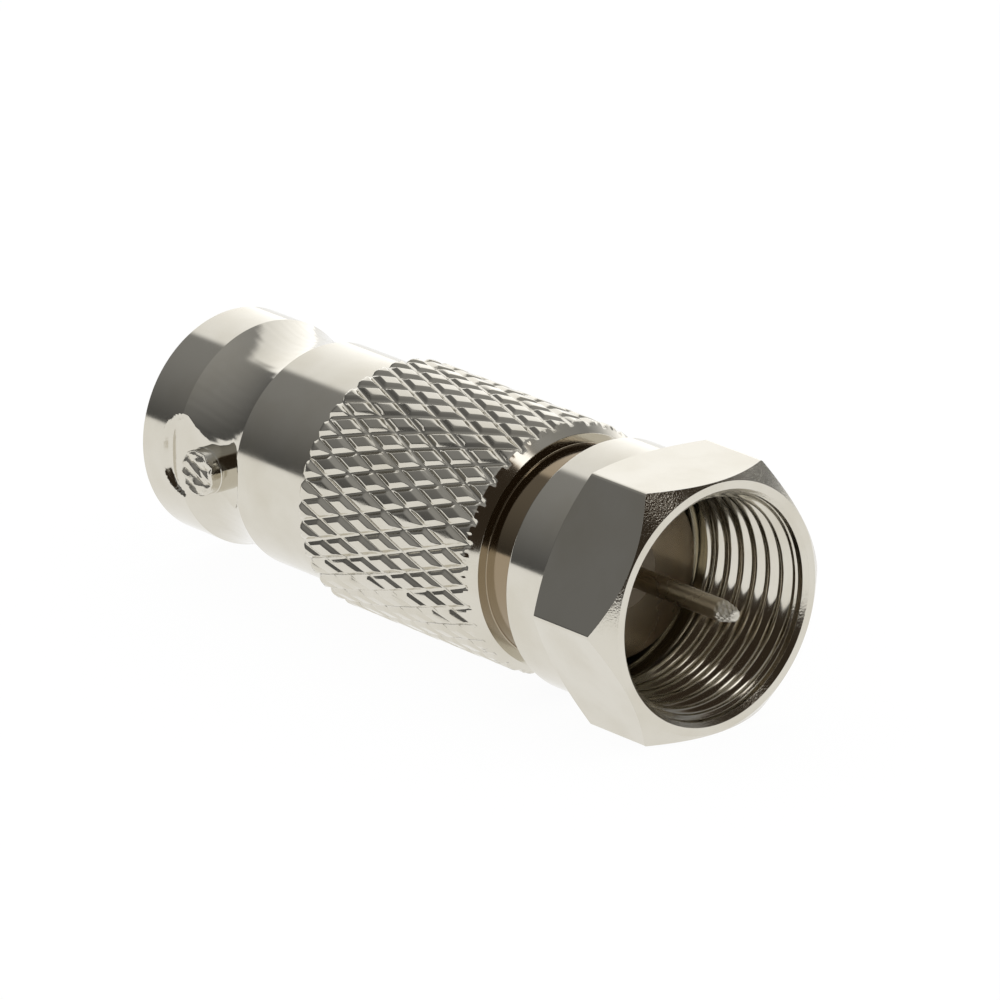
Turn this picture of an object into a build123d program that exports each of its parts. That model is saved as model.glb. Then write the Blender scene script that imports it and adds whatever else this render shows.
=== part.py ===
"""Coaxial adapter: a bayonet jack at one end and a threaded plug with a turning hex nut at the other.

Sizes are in millimetres. The axis of the adapter is X and Z is up. The mouth of the coupling nut is at
X = 0 and the jack points to -X. A station is a distance behind the mouth, so it lies at X = -station.
"""
import os
from math import cos, pi, radians, sin, tan

from build123d import *

os.makedirs("parts", exist_ok=True)

# Coupling nut
nut_length = 6.75
nut_flat_wall = 0.5625
nut_hex_length = 4.05
nut_ring_wall = 0.45
nut_corner_chamfer_length = 0.85
nut_back_chamfer_angle = 30.0
nut_collar_wall = 0.3975
nut_collar_rounding = 0.25
thread_major_diameter = 9.525
thread_pitch = 25.4 / 32
thread_depth_share = 0.49
thread_mouth_clearance = 0.05
thread_mouth_length = 0.55
thread_relief_clearance = 0.12
thread_relief_length = 0.25
nut_lip_thickness = 0.8
nut_float = 0.6

# Ferrule that traps the nut
ferrule_flange_diameter = 7.2
ferrule_flange_thickness = 0.5
ferrule_diameter = 5.8
ferrule_seat_length = 5.6
ferrule_bore = 3.0
running_clearance = 0.05

# Adapter body, front to back
stub_diameter = 8.92
stub_length = 1.5
band_diameter = 10.5
band_width = 0.5
band_taper_angle = 30.0
knurl_diameter = 10.62
knurl_depth = 0.3
knurl_length = 10.3
knurl_count = 36
knurl_helix_angle = 20.0
knurl_land_share = 0.5
shoulder_diameter = 9.6
shoulder_length = 4.55
waist_wall = 0.4
rim_diameter = 9.65
rim_width = 2.35
rim_chamfer = 0.12
jack_length = 10.65

# Inside of the jack
jack_bore = 8.15
jack_bore_depth = 8.4
jack_bore_chamfer = 0.25
web_thickness = 1.0
tower_diameter = 4.8
tower_recess = 3.2
tower_root_step = 0.2
tower_root_reach = 0.2
tower_clearance = 0.05

# Bayonet lugs, and the flat milled around each of them
lug_diameter = 1.95
lug_span = 11.0
lug_setback = 4.4
lug_edge = 0.12
land_span = 8.8
land_setback = 3.75
land_diameter = 4.6
land_wall_angle = 80.0

# Insulators and contacts
insulator_flange_length = 3.0
socket_diameter = 2.2
socket_recess = 0.3
socket_hole = 1.37
socket_hole_depth = 5.0
socket_slot_width = 0.25
socket_slot_length = 3.6
socket_slot_pairs = 2
socket_collar_diameter = 3.4
socket_collar_length = 2.9
socket_collar_clearance = 0.05
pin_diameter = 0.9
pin_reach = 1.1
pin_cone_length = 0.85
pin_cone_tip = 0.25
pin_root_step = 0.25
pin_root_reach = 0.2
pin_joint_depth = 2.4

# Diameters, radii and stations that follow
mouth_diameter = thread_major_diameter + 2 * thread_mouth_clearance
relief_diameter = thread_major_diameter + 2 * thread_relief_clearance
nut_across_flats = thread_major_diameter + 2 * nut_flat_wall
nut_ring_diameter = mouth_diameter + 2 * nut_ring_wall
nut_collar_diameter = relief_diameter + 2 * nut_collar_wall
corner_radius = nut_across_flats / 2 / cos(pi / 6)
thread_minor_diameter = thread_major_diameter - 2 * thread_depth_share * thread_pitch
thread_front = thread_mouth_length + (thread_major_diameter - thread_minor_diameter) / 2
lip_front = nut_length - nut_lip_thickness
flange_back = lip_front - running_clearance
flange_front = flange_back - ferrule_flange_thickness
stub_front = nut_length + nut_float
band_front = stub_front + stub_length
knurl_front = band_front + band_width
knurl_back = knurl_front + knurl_length
shoulder_back = knurl_back + shoulder_length
jack_face = knurl_back + jack_length
rim_front = jack_face - rim_width
waist_middle = (shoulder_back + rim_front) / 2
jack_floor = jack_face - jack_bore_depth
web_front = jack_floor - web_thickness
ferrule_back = stub_front + ferrule_seat_length
insulator_front = web_front - insulator_flange_length
collar_back = insulator_front - socket_collar_clearance
spacer_back = collar_back - socket_collar_length
tower_face = jack_face - tower_recess
socket_face = tower_face - socket_recess
lug_station = jack_face - lug_setback
land_station = jack_face - land_setback
land_wall_reach = (lug_span - land_span) / 2 / tan(radians(land_wall_angle))
tower_root_back = jack_floor + tower_root_reach
tower_root_diameter = tower_diameter + 2 * tower_root_step
web_bore = tower_root_diameter + 2 * tower_clearance
pin_root_front = flange_front - pin_root_reach
pin_root_diameter = pin_diameter + 2 * pin_root_step
pin_back = spacer_back + pin_joint_depth
knurl_core_diameter = knurl_diameter - 4 * knurl_depth
band_front_diameter = band_diameter - 2 * band_width * tan(radians(band_taper_angle))
waist_diameter = jack_bore + 2 * waist_wall


def at(station, diameter):
    """A point of a turned profile: how far behind the mouth, and the diameter there."""
    return (-station, diameter / 2)


def knurl_point(turn, station, radius):
    """A point on the knurl, turn in radians from the top."""
    return Vector(-station, radius * sin(turn), radius * cos(turn))


def knurl_facets():
    """Flat-topped diamonds between two families of crossing V grooves, one of each hand.

    The grooves cross at every half pitch along the axis. A diamond's four corners lie at crossings, on
    the groove floors, and its land is the same diamond made smaller, at the full diameter. The rows at
    the two ends are cut in half by the end planes, which are closed by one toothed face each.
    """
    half_turn = pi / knurl_count
    wanted_half = knurl_diameter / 2 * half_turn / tan(radians(knurl_helix_angle))
    half_rows = max(2, round(knurl_length / wanted_half))
    half_length = knurl_length / half_rows
    land = knurl_diameter / 2
    floor = land - knurl_depth
    facets = []
    front_edge = []
    back_edge = []

    def facet(*points):
        facets.append(Face(Wire.make_polygon(points, close=True)))

    for row in range(half_rows + 1):
        middle = knurl_front + row * half_length
        for tooth in range(knurl_count):
            turn = (2 * tooth + row % 2) * half_turn
            left = knurl_point(turn - half_turn, middle, floor)
            right = knurl_point(turn + half_turn, middle, floor)
            land_left = knurl_point(turn - knurl_land_share * half_turn, middle, land)
            land_right = knurl_point(turn + knurl_land_share * half_turn, middle, land)
            for side in (-1, 1):
                if not 0 <= row + side <= half_rows:
                    continue
                tip = knurl_point(turn, middle + side * half_length, floor)
                land_tip = knurl_point(turn, middle + side * knurl_land_share * half_length, land)
                facet(land_left, land_tip, land_right)
                facet(left, tip, land_tip)
                facet(left, land_tip, land_left)
                facet(right, land_right, land_tip)
                facet(right, land_tip, tip)
            if row == 0:
                front_edge += [left, land_left, land_right]
            if row == half_rows:
                back_edge += [left, land_left, land_right]
    facet(*front_edge)
    facet(*back_edge)
    return facets


# Coupling nut: hexagon bar turned to a chamfer at the front and a round collar at the back
with BuildPart() as coupling_nut:
    with BuildSketch(Plane.YZ):
        RegularPolygon(radius=nut_across_flats / 2, side_count=6, major_radius=False)
    extrude(amount=-nut_length)
    with BuildSketch(Plane.XY):
        with BuildLine():
            back_run = (corner_radius - nut_collar_diameter / 2) * tan(radians(nut_back_chamfer_angle))
            Polyline(
                at(0, 0),
                at(0, nut_ring_diameter),
                at(nut_corner_chamfer_length, 2 * corner_radius),
                at(nut_hex_length, 2 * corner_radius),
                at(nut_hex_length + back_run, nut_collar_diameter),
                at(nut_length, nut_collar_diameter),
                at(nut_length, 0),
                close=True,
            )
        make_face()
    revolve(axis=Axis.X, mode=Mode.INTERSECT)
    back_edges = coupling_nut.edges().filter_by(GeomType.CIRCLE).group_by(Axis.X)[0]
    fillet(back_edges.sort_by(SortBy.RADIUS)[-1], radius=nut_collar_rounding)
    lip_bore = ferrule_diameter + 2 * running_clearance
    with BuildSketch(Plane.XY):
        with BuildLine():
            Polyline(
                at(0, 0),
                at(0, mouth_diameter),
                at(thread_mouth_length, mouth_diameter),
                at(thread_front, thread_minor_diameter),
                at(lip_front - thread_relief_length, thread_minor_diameter),
                at(lip_front - thread_relief_length, relief_diameter),
                at(lip_front, relief_diameter),
                at(lip_front, lip_bore),
                at(nut_length, lip_bore),
                at(nut_length, 0),
                close=True,
            )
        make_face()
    revolve(axis=Axis.X, mode=Mode.SUBTRACT)

# Ferrule: pressed into the body, its flange keeps the nut on
with BuildPart() as nut_ferrule:
    with BuildSketch(Plane.XY):
        with BuildLine():
            Polyline(
                at(flange_front, ferrule_bore),
                at(flange_front, ferrule_flange_diameter),
                at(flange_back, ferrule_flange_diameter),
                at(flange_back, ferrule_diameter),
                at(ferrule_back, ferrule_diameter),
                at(ferrule_back, ferrule_bore),
                close=True,
            )
        make_face()
    revolve(axis=Axis.X)

# Adapter body: one turned and knurled bar, with the lugs left standing on milled lands at the jack
with BuildPart() as adapter_body:
    with BuildSketch(Plane.XZ):
        with BuildLine():
            Polyline(
                at(shoulder_back, shoulder_diameter),
                at(knurl_back, shoulder_diameter),
                at(knurl_back, knurl_core_diameter),
                at(knurl_front, knurl_core_diameter),
                at(knurl_front, band_diameter),
                at(band_front, band_front_diameter),
                at(band_front, stub_diameter),
                at(stub_front, stub_diameter),
                at(stub_front, 0),
                at(jack_face, 0),
                at(jack_face, rim_diameter - 2 * rim_chamfer),
                at(jack_face - rim_chamfer, rim_diameter),
                at(rim_front, rim_diameter),
            )
            ThreePointArc(
                at(rim_front, rim_diameter),
                at(waist_middle, waist_diameter),
                at(shoulder_back, shoulder_diameter),
            )
        make_face()
    revolve(axis=Axis.X)
    for side in (1, -1):
        with BuildSketch(Plane.XY):
            with BuildLine():
                Polyline(
                    (-land_station, side * land_span / 2),
                    (-land_station + land_diameter / 2, side * land_span / 2),
                    (-land_station + land_diameter / 2 + land_wall_reach, side * lug_span / 2),
                    (-land_station, side * lug_span / 2),
                    close=True,
                )
            make_face()
        revolve(axis=Axis((-land_station, 0, 0), (0, 1, 0)), mode=Mode.SUBTRACT)
        with BuildSketch(Plane((-lug_station, 0, 0), x_dir=(1, 0, 0), z_dir=(0, side, 0))):
            Circle(lug_diameter / 2)
        extrude(amount=lug_span / 2)
    lug_ends = adapter_body.faces().sort_by(Axis.Y)
    chamfer([lug_ends[0].edges(), lug_ends[-1].edges()], length=lug_edge)
    add(Solid(Shell(knurl_facets())))
    with BuildSketch(Plane.XY):
        with BuildLine():
            Polyline(
                at(stub_front, 0),
                at(stub_front, ferrule_diameter),
                at(web_front, ferrule_diameter),
                at(web_front, web_bore),
                at(jack_floor, web_bore),
                at(jack_floor, jack_bore),
                at(jack_face - jack_bore_chamfer, jack_bore),
                at(jack_face, jack_bore + 2 * jack_bore_chamfer),
                at(jack_face, 0),
                close=True,
            )
        make_face()
    revolve(axis=Axis.X, mode=Mode.SUBTRACT)

# Jack insulator: a flange against the web and a tower, thicker at its root, that stands in the jack
with BuildPart() as jack_insulator:
    with BuildSketch(Plane.XY):
        with BuildLine():
            Polyline(
                at(insulator_front, socket_diameter),
                at(insulator_front, ferrule_diameter),
                at(web_front, ferrule_diameter),
                at(web_front, tower_root_diameter),
                at(tower_root_back, tower_root_diameter),
                at(tower_root_back, tower_diameter),
                at(tower_face, tower_diameter),
                at(tower_face, socket_diameter),
                close=True,
            )
        make_face()
    revolve(axis=Axis.X)

# Plug insulator: a rod inside the ferrule and a flange behind it
with BuildPart() as plug_insulator:
    with BuildSketch(Plane.XY):
        with BuildLine():
            Polyline(
                at(flange_front, pin_root_diameter),
                at(flange_front, ferrule_bore),
                at(ferrule_back, ferrule_bore),
                at(ferrule_back, ferrule_diameter),
                at(spacer_back, ferrule_diameter),
                at(spacer_back, pin_root_diameter),
                close=True,
            )
        make_face()
    revolve(axis=Axis.X)

# Jack contact: a slotted socket with a collar held between the two insulators
with BuildPart() as jack_contact:
    with BuildSketch(Plane.XY):
        with BuildLine():
            Polyline(
                at(spacer_back, pin_root_diameter),
                at(spacer_back, socket_collar_diameter),
                at(collar_back, socket_collar_diameter),
                at(collar_back, socket_diameter),
                at(socket_face, socket_diameter),
                at(socket_face, socket_hole),
                at(socket_face - socket_hole_depth, socket_hole),
                at(socket_face - socket_hole_depth, 0),
                at(pin_back, 0),
                at(pin_back, pin_root_diameter),
                close=True,
            )
        make_face()
    revolve(axis=Axis.X)
    with BuildSketch(Plane.YZ.offset(-socket_face)):
        for cut in range(socket_slot_pairs):
            Rectangle(2 * socket_diameter, socket_slot_width, rotation=cut * 180 / socket_slot_pairs)
    extrude(amount=socket_slot_length, mode=Mode.SUBTRACT)

# Centre pin: its thicker root is pressed into the jack contact, its point reaches out of the nut
with BuildPart() as centre_pin:
    with BuildSketch(Plane.XY):
        with BuildLine():
            Polyline(
                at(-pin_reach, 0),
                at(-pin_reach, 2 * pin_cone_tip),
                at(pin_cone_length - pin_reach, pin_diameter),
                at(pin_root_front, pin_diameter),
                at(pin_root_front, pin_root_diameter),
                at(pin_back, pin_root_diameter),
                at(pin_back, 0),
                close=True,
            )
        make_face()
    revolve(axis=Axis.X)

for name, piece in {
    "coupling_nut": coupling_nut,
    "nut_ferrule": nut_ferrule,
    "adapter_body": adapter_body,
    "jack_insulator": jack_insulator,
    "plug_insulator": plug_insulator,
    "jack_contact": jack_contact,
    "centre_pin": centre_pin,
}.items():
    piece.part.label = name
    export_step(piece.part, f"parts/{name}.step")
    print(name, round(piece.part.volume, 2))
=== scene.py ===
# %% [markdown]
# This lesson dresses a small coaxial adapter of nickel-plated brass: a bayonet jack at one end, a
# knurled barrel, and a threaded plug with a turning hexagon nut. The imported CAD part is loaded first
# and gives every size and place. Pieces whose shape needs more than the CAD solid holds, such as the
# thread and the knurl, are made again here as finer meshes in the same place.

# %% Load the frame
import math

import bpy
import numpy as np
from mathutils import Matrix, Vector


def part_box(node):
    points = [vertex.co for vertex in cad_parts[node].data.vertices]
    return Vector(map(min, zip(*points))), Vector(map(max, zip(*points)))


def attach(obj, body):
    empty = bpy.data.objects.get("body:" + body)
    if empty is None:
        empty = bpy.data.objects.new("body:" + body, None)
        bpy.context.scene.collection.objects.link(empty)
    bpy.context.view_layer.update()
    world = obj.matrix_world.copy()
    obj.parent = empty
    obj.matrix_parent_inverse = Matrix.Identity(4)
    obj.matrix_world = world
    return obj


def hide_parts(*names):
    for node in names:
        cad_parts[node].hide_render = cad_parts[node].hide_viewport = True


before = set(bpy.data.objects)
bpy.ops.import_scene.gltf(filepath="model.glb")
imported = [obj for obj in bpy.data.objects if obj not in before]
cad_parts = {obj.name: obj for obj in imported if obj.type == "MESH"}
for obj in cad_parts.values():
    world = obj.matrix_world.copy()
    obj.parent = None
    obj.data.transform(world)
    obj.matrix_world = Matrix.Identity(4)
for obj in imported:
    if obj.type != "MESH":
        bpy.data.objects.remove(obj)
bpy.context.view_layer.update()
MM = 0.001

# %% [markdown]
# The camera stands where the photograph was taken: a long lens, about 0.4 m away, to the right of the
# plug end and a little above it. Its place is worked out from where the middle of the nut's mouth,
# which is the frame's origin, lies in front of the lens.

# %% Camera
VIEW_TURN = math.radians(49.143)
VIEW_RISE = math.radians(19.684)
FOCAL_PIXELS = 10324.34
IMAGE_PIXELS = 1000
SENSOR_WIDTH = 36.0
MOUTH_RIGHT, MOUTH_DOWN, MOUTH_AHEAD = 8.608, 4.305, 408.937

turn_cos, turn_sin = math.cos(VIEW_TURN), math.sin(VIEW_TURN)
rise_cos, rise_sin = math.cos(VIEW_RISE), math.sin(VIEW_RISE)
view_right = np.array([turn_cos, turn_sin, 0.0])
view_up = np.array([-turn_sin * rise_sin, turn_cos * rise_sin, rise_cos])
view_ahead = np.array([-turn_sin * rise_cos, turn_cos * rise_cos, -rise_sin])
eye = MM * (MOUTH_DOWN * view_up - MOUTH_RIGHT * view_right - MOUTH_AHEAD * view_ahead)

lens = bpy.data.cameras.new("photo_lens")
lens.sensor_width = SENSOR_WIDTH
lens.lens = FOCAL_PIXELS / IMAGE_PIXELS * SENSOR_WIDTH
lens.clip_start = 0.02
camera = bpy.data.objects.new("photo_camera", lens)
camera_axes = np.eye(4)
camera_axes[:3, 0] = view_right
camera_axes[:3, 1] = view_up
camera_axes[:3, 2] = -view_ahead
camera_axes[:3, 3] = eye
camera.matrix_world = Matrix(camera_axes.tolist())
bpy.context.scene.collection.objects.link(camera)
bpy.context.scene.camera = camera
print("camera at", np.round(eye, 4), "lens", round(lens.lens, 1))

# %% [markdown]
# Everything here was turned in a lathe, so a place on it is given by a station, the distance in
# millimetres behind the nut's mouth, by a radius, and by a turn about the axis, counted from the top
# towards +Y. These are the sizes that the fine meshes share with the solids.

# %% Sizes in millimetres
nut_low, nut_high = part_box("coupling_nut")
body_low, body_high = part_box("adapter_body")
pin_low, pin_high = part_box("centre_pin")
NUT_BACK = -nut_low.x / MM
NUT_FLAT = nut_high.z / MM
STUB_FRONT = -body_high.x / MM
JACK_FACE = -body_low.x / MM
LUG_REACH = body_high.y / MM
PIN_TIP = -pin_high.x / MM
PIN_BACK = -pin_low.x / MM

NUT_CORNER = NUT_FLAT / math.cos(math.pi / 6)
NUT_RING = 5.2625
NUT_CHAMFER = 0.85
NUT_HEX_BACK = 4.05
NUT_BACK_SLOPE = math.tan(math.radians(30))
NUT_COLLAR = 5.28
MOUTH = 4.74
MOUTH_LENGTH = 0.42
MOUTH_CHAMFER = 0.18
THREAD_RIDGE = 4.3735
THREAD_FLOOR = 4.65
THREAD_RUNOUT = THREAD_FLOOR + 0.02
THREAD_PITCH = 25.4 / 32
LIP_FRONT = 5.95
RELIEF_FRONT = 5.70
RELIEF = 4.8825
LIP_BORE = 2.95

STUB = 4.46
BAND_FRONT = 8.85
BAND_FACE = 4.9
BAND = 5.25
KNURL_FRONT = 9.35
KNURL_BACK = 19.65
KNURL = 5.31
KNURL_DEPTH = 0.2
KNURL_COUNT = 36
KNURL_HALF_ROWS = 8
KNURL_LAND = 0.5
SHOULDER = 4.8
SHOULDER_BACK = 24.2
WAIST = 4.5
RIM = 4.825
RIM_FRONT = 27.95
RIM_CHAMFER = 0.12
JACK_BORE = 4.075
JACK_BORE_CHAMFER = 0.25
JACK_FLOOR = 21.9
WEB_FRONT = 20.9
WEB_BORE = 2.65
BODY_BORE = 2.9
LUG_STATION = JACK_FACE - 4.4
LUG = 0.975
LUG_STEP = 4.93
LAND_STATION = JACK_FACE - 3.75
LAND = 4.4
LAND_RADIUS = 2.25
LAND_WALL = math.tan(math.radians(62))
LAND_EASE = 0.03
LAND_SQUAT = 1.2
PIN = 0.45
PIN_ROOT = 0.7
PIN_ROOT_FRONT = 5.2
PIN_CONE = 0.85
PIN_CONE_TIP = 0.25
print("nut length", round(NUT_BACK, 3), "corner radius", round(NUT_CORNER, 3))
print("jack face", round(JACK_FACE, 2))

# %% [markdown]
# A mirror finish shows every fault of its normals, so no piece relies on averaged ones. A turned
# section is a line of corners, and each corner is rounded by a small arc, as plating and tumbling
# leave it. The helper gives the points together with the direction of travel, and the exact normal
# follows from that direction. It could be done with a Bevel modifier, but that gives less control.

# %% Rounded sections
ARC_STEPS = 4
ARC_FIT = 0.45


def rounded(corners, arcs, steps=ARC_STEPS):
    """Rounds the inner corners of an open line, given as rows of (station, radius).

    Between a direction d0 and the next, d1, the turn is A. The arc of radius R starts R tan(A/2) before
    the corner. Its centre lies R to the side, along n0 = (d1 - cos A d0) / sin A, and a share f along
    the arc the point is centre - R (cos fA n0 - sin fA d0), with direction cos fA d0 + sin fA n0.
    R is kept small enough for the arc to fit on the shorter of its two straights.
    """
    corners = np.asarray(corners, float)
    points, ways = [], []
    for k in range(1, len(corners) - 1):
        before = corners[k] - corners[k - 1]
        after = corners[k + 1] - corners[k]
        shorter = np.minimum(np.hypot(*before), np.hypot(*after))
        before = before / np.hypot(*before)
        after = after / np.hypot(*after)
        if k == 1:
            points.append(corners[0])
            ways.append(before)
        cosine = np.clip((before * after).sum(0), -1, 1)
        bend = np.arccos(cosine)
        side = (after - cosine * before) / np.maximum(np.sin(bend), 1e-9)
        radius = np.minimum(arcs[k - 1], ARC_FIT * shorter / np.maximum(np.tan(bend / 2), 1e-9))
        start = corners[k] - before * radius * np.tan(bend / 2)
        centre = start + radius * side
        for share in np.linspace(0, 1, steps):
            lean = share * bend
            points.append(centre - radius * (np.cos(lean) * side - np.sin(lean) * before))
            ways.append(np.cos(lean) * before + np.sin(lean) * side)
    points.append(corners[-1])
    ways.append(after)
    return np.array(points), np.array(ways)


def fill_rows(points, ways, spacing, start, end):
    """Adds rows to the part of a line that lies between two stations, no further apart than spacing."""
    rows, row_ways = [points[:1]], [ways[:1]]
    for k in range(1, len(points)):
        run = points[k] - points[k - 1]
        shares = np.array([1.0])
        if abs(run[0]) > 1e-9:
            first, last = np.sort(np.clip((np.array([start, end]) - points[k - 1][0]) / run[0], 0, 1))
            count = math.ceil((last - first) * float(np.hypot(*run)) / spacing)
            shares = np.unique(np.append(np.linspace(first, last, count + 1), 1.0))
            shares = shares[shares > 1e-6]
        rows.append(points[k - 1] + run * shares[:, None])
        row_ways.append(np.repeat(ways[k : k + 1], len(shares), axis=0))
    return np.concatenate(rows), np.concatenate(row_ways)


# %% [markdown]
# A turned surface is that section carried round the axis: one row of points for each place along the
# section and one column for each turn. All pieces are collected as patches of points, normals and
# four-cornered faces. Rows that two patches share are exactly equal, so that they can be joined.

# %% Patches and pieces


def around(stations, radii, turns):
    """x = -station, y = radius sin(turn), z = radius cos(turn)."""
    stations, radii, turns = np.broadcast_arrays(stations, radii, turns)
    return np.stack([-stations, radii * np.sin(turns), radii * np.cos(turns)], -1)


def unit(vectors):
    """Each vector divided by its length."""
    return vectors / np.maximum(np.linalg.norm(vectors, axis=-1, keepdims=True), 1e-12)


def soft_max(one, other, ease):
    """The larger of two, eased where they meet: half of a + b + sqrt((a - b) squared + ease squared)."""
    return 0.5 * (one + other + np.sqrt((one - other) ** 2 + ease**2))


def turned_normals(ways, turns):
    """Travel (ds, dr), with metal on the inner side, has the normal (dr, ds sin(turn), ds cos(turn))."""
    ds, dr = ways[:, 0, None], ways[:, 1, None]
    return unit(np.stack(np.broadcast_arrays(dr, ds * np.sin(turns), ds * np.cos(turns)), -1))


def grid_faces(rows, columns):
    """Faces between neighbouring rows, with the last column joined to the first."""
    row, column = np.meshgrid(np.arange(rows - 1), np.arange(columns), indexing="ij")
    here = row * columns + column
    beside = row * columns + (column + 1) % columns
    return np.stack([here, beside, beside + columns, here + columns], -1).reshape(-1, 4)


def patch(points, normals, coarse=0.0):
    """A closed ring of rows as flat arrays: points, normals, faces, and how coarse its finish is, where
    values below 0 carry painted shade instead.
    """
    rows, columns = points.shape[:2]
    coarse = np.broadcast_to(np.asarray(coarse, float), (rows, columns)).reshape(-1)
    return points.reshape(-1, 3), normals.reshape(-1, 3), grid_faces(rows, columns), coarse


def make_piece(name, patches, material, body, replaced):
    """Joins equal points, splits faces into triangles, drops empty ones and turns the rest outwards.

    The piece then rides on its body and stands in for its CAD node, which is hidden.
    """
    points = np.concatenate([p[0] for p in patches]) + 0.0
    normals = np.concatenate([p[1] for p in patches])
    coarse = np.concatenate([p[3] for p in patches])
    offsets = np.cumsum([0] + [len(p[0]) for p in patches[:-1]])
    faces = np.concatenate([p[2] + offset for p, offset in zip(patches, offsets)])
    points, first, same = np.unique(points, axis=0, return_index=True, return_inverse=True)
    normals, coarse = unit(normals[first]), coarse[first]
    faces = same.reshape(-1)[faces]
    triangles = np.concatenate([faces[:, [0, 1, 2]], faces[:, [0, 2, 3]]])
    a, b, c = triangles.T
    triangles = triangles[(a != b) & (b != c) & (a != c)]
    a, b, c = triangles.T
    facing = np.cross(points[b] - points[a], points[c] - points[a])
    wrong = (facing * (normals[a] + normals[b] + normals[c])).sum(1) < 0
    triangles[wrong] = triangles[wrong][:, [0, 2, 1]]

    mesh = bpy.data.meshes.new(name)
    mesh.vertices.add(len(points))
    mesh.vertices.foreach_set("co", (points * MM).astype(np.float32).ravel())
    mesh.loops.add(triangles.size)
    mesh.loops.foreach_set("vertex_index", triangles.astype(np.int32).ravel())
    mesh.polygons.add(len(triangles))
    mesh.polygons.foreach_set("loop_start", np.arange(0, triangles.size, 3, dtype=np.int32))
    mesh.update(calc_edges=True)
    mesh.validate()
    mesh.shade_smooth()
    mesh.normals_split_custom_set_from_vertices(normals.astype(np.float32))
    finish = mesh.attributes.new("coarse", "FLOAT", "POINT")
    finish.data.foreach_set("value", coarse.astype(np.float32))
    mesh.materials.append(material)
    piece = bpy.data.objects.new(name, mesh)
    bpy.context.scene.collection.objects.link(piece)
    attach(piece, body)
    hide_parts(replaced)
    print(name, len(points), "points", len(triangles), "triangles")


# %% [markdown]
# Two effects come back in every metal here, so each is a node group that is built once. Turning
# leaves fine rings about the axis: noise that changes fast along X and slowly across it. Handling
# leaves faint cloudy stains, which only shift the colour and the roughness a little.

# %% Shared shader groups
RINGS_PER_MM = 14.0
RING_DRIFT_PER_M = 260.0
GRIT_PER_M = 13000.0
STAIN_PER_M = 420.0
STAIN_FROM, STAIN_TO = 0.42, 0.74


def group_socket(group, name, side, value=None):
    """Adds one named number socket to a node group."""
    socket = group.interface.new_socket(name=name, in_out=side, socket_type="NodeSocketFloat")
    if value is not None:
        socket.default_value = value


def place(tree, kind, **settings):
    """Adds a node and sets its plain properties."""
    node = tree.nodes.new(kind)
    for key, value in settings.items():
        setattr(node, key, value)
    return node


def math_node(tree, operation, first, second=None, third=None, clamp=False):
    """A Math node whose inputs are sockets or numbers; returns its result."""
    node = place(tree, "ShaderNodeMath", operation=operation, use_clamp=clamp)
    for socket, value in zip(node.inputs, (first, second, third)):
        if isinstance(value, bpy.types.NodeSocket):
            tree.links.new(value, socket)
        elif value is not None:
            socket.default_value = value
    return node.outputs[0]


def blend_colour(tree, share, first, second):
    """A colour between two colours, which are sockets or plain values."""
    node = place(tree, "ShaderNodeMix", data_type="RGBA")
    tree.links.new(share, node.inputs["Factor"])
    for socket, value in zip((node.inputs[6], node.inputs[7]), (first, second)):
        if isinstance(value, bpy.types.NodeSocket):
            tree.links.new(value, socket)
        else:
            socket.default_value = value
    return node.outputs[2]


def build_turning_rings():
    """Height of fine rings about X: noise on (x / fine, y / wide, z / wide)."""
    group = bpy.data.node_groups.new("turning_rings", "ShaderNodeTree")
    group_socket(group, "Rings per mm", "INPUT", value=RINGS_PER_MM)
    group_socket(group, "Height", "OUTPUT")
    group_socket(group, "Grit", "OUTPUT")
    given, result = group.nodes.new("NodeGroupInput"), group.nodes.new("NodeGroupOutput")
    where = place(group, "ShaderNodeTexCoord")
    split = place(group, "ShaderNodeSeparateXYZ")
    group.links.new(where.outputs["Object"], split.inputs[0])
    along = math_node(group, "MULTIPLY", split.outputs["X"], 1 / MM)
    along = math_node(group, "MULTIPLY", along, given.outputs["Rings per mm"])
    across = math_node(group, "MULTIPLY", split.outputs["Y"], RING_DRIFT_PER_M)
    upward = math_node(group, "MULTIPLY", split.outputs["Z"], RING_DRIFT_PER_M)
    join = place(group, "ShaderNodeCombineXYZ")
    for socket, value in zip(join.inputs, (along, across, upward)):
        group.links.new(value, socket)
    rings = place(group, "ShaderNodeTexNoise")
    rings.inputs["Scale"].default_value = 1.0
    rings.inputs["Detail"].default_value = 3.0
    group.links.new(join.outputs[0], rings.inputs["Vector"])
    grit = place(group, "ShaderNodeTexNoise")
    grit.inputs["Scale"].default_value = GRIT_PER_M
    grit.inputs["Detail"].default_value = 2.0
    group.links.new(where.outputs["Object"], grit.inputs["Vector"])
    group.links.new(rings.outputs["Fac"], result.inputs["Height"])
    group.links.new(grit.outputs["Fac"], result.inputs["Grit"])
    return group


def build_cloudy_stain():
    """Share of stain: soft noise, pushed apart so that most of the surface stays clean."""
    group = bpy.data.node_groups.new("cloudy_stain", "ShaderNodeTree")
    group_socket(group, "Size per m", "INPUT", value=STAIN_PER_M)
    group_socket(group, "Share", "OUTPUT")
    given, result = group.nodes.new("NodeGroupInput"), group.nodes.new("NodeGroupOutput")
    where = place(group, "ShaderNodeTexCoord")
    cloud = place(group, "ShaderNodeTexNoise")
    cloud.inputs["Detail"].default_value = 4.0
    group.links.new(where.outputs["Object"], cloud.inputs["Vector"])
    group.links.new(given.outputs["Size per m"], cloud.inputs["Scale"])
    spread = place(group, "ShaderNodeMapRange")
    spread.inputs["From Min"].default_value = STAIN_FROM
    spread.inputs["From Max"].default_value = STAIN_TO
    group.links.new(cloud.outputs["Fac"], spread.inputs["Value"])
    group.links.new(spread.outputs["Result"], result.inputs["Share"])
    return group


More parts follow.
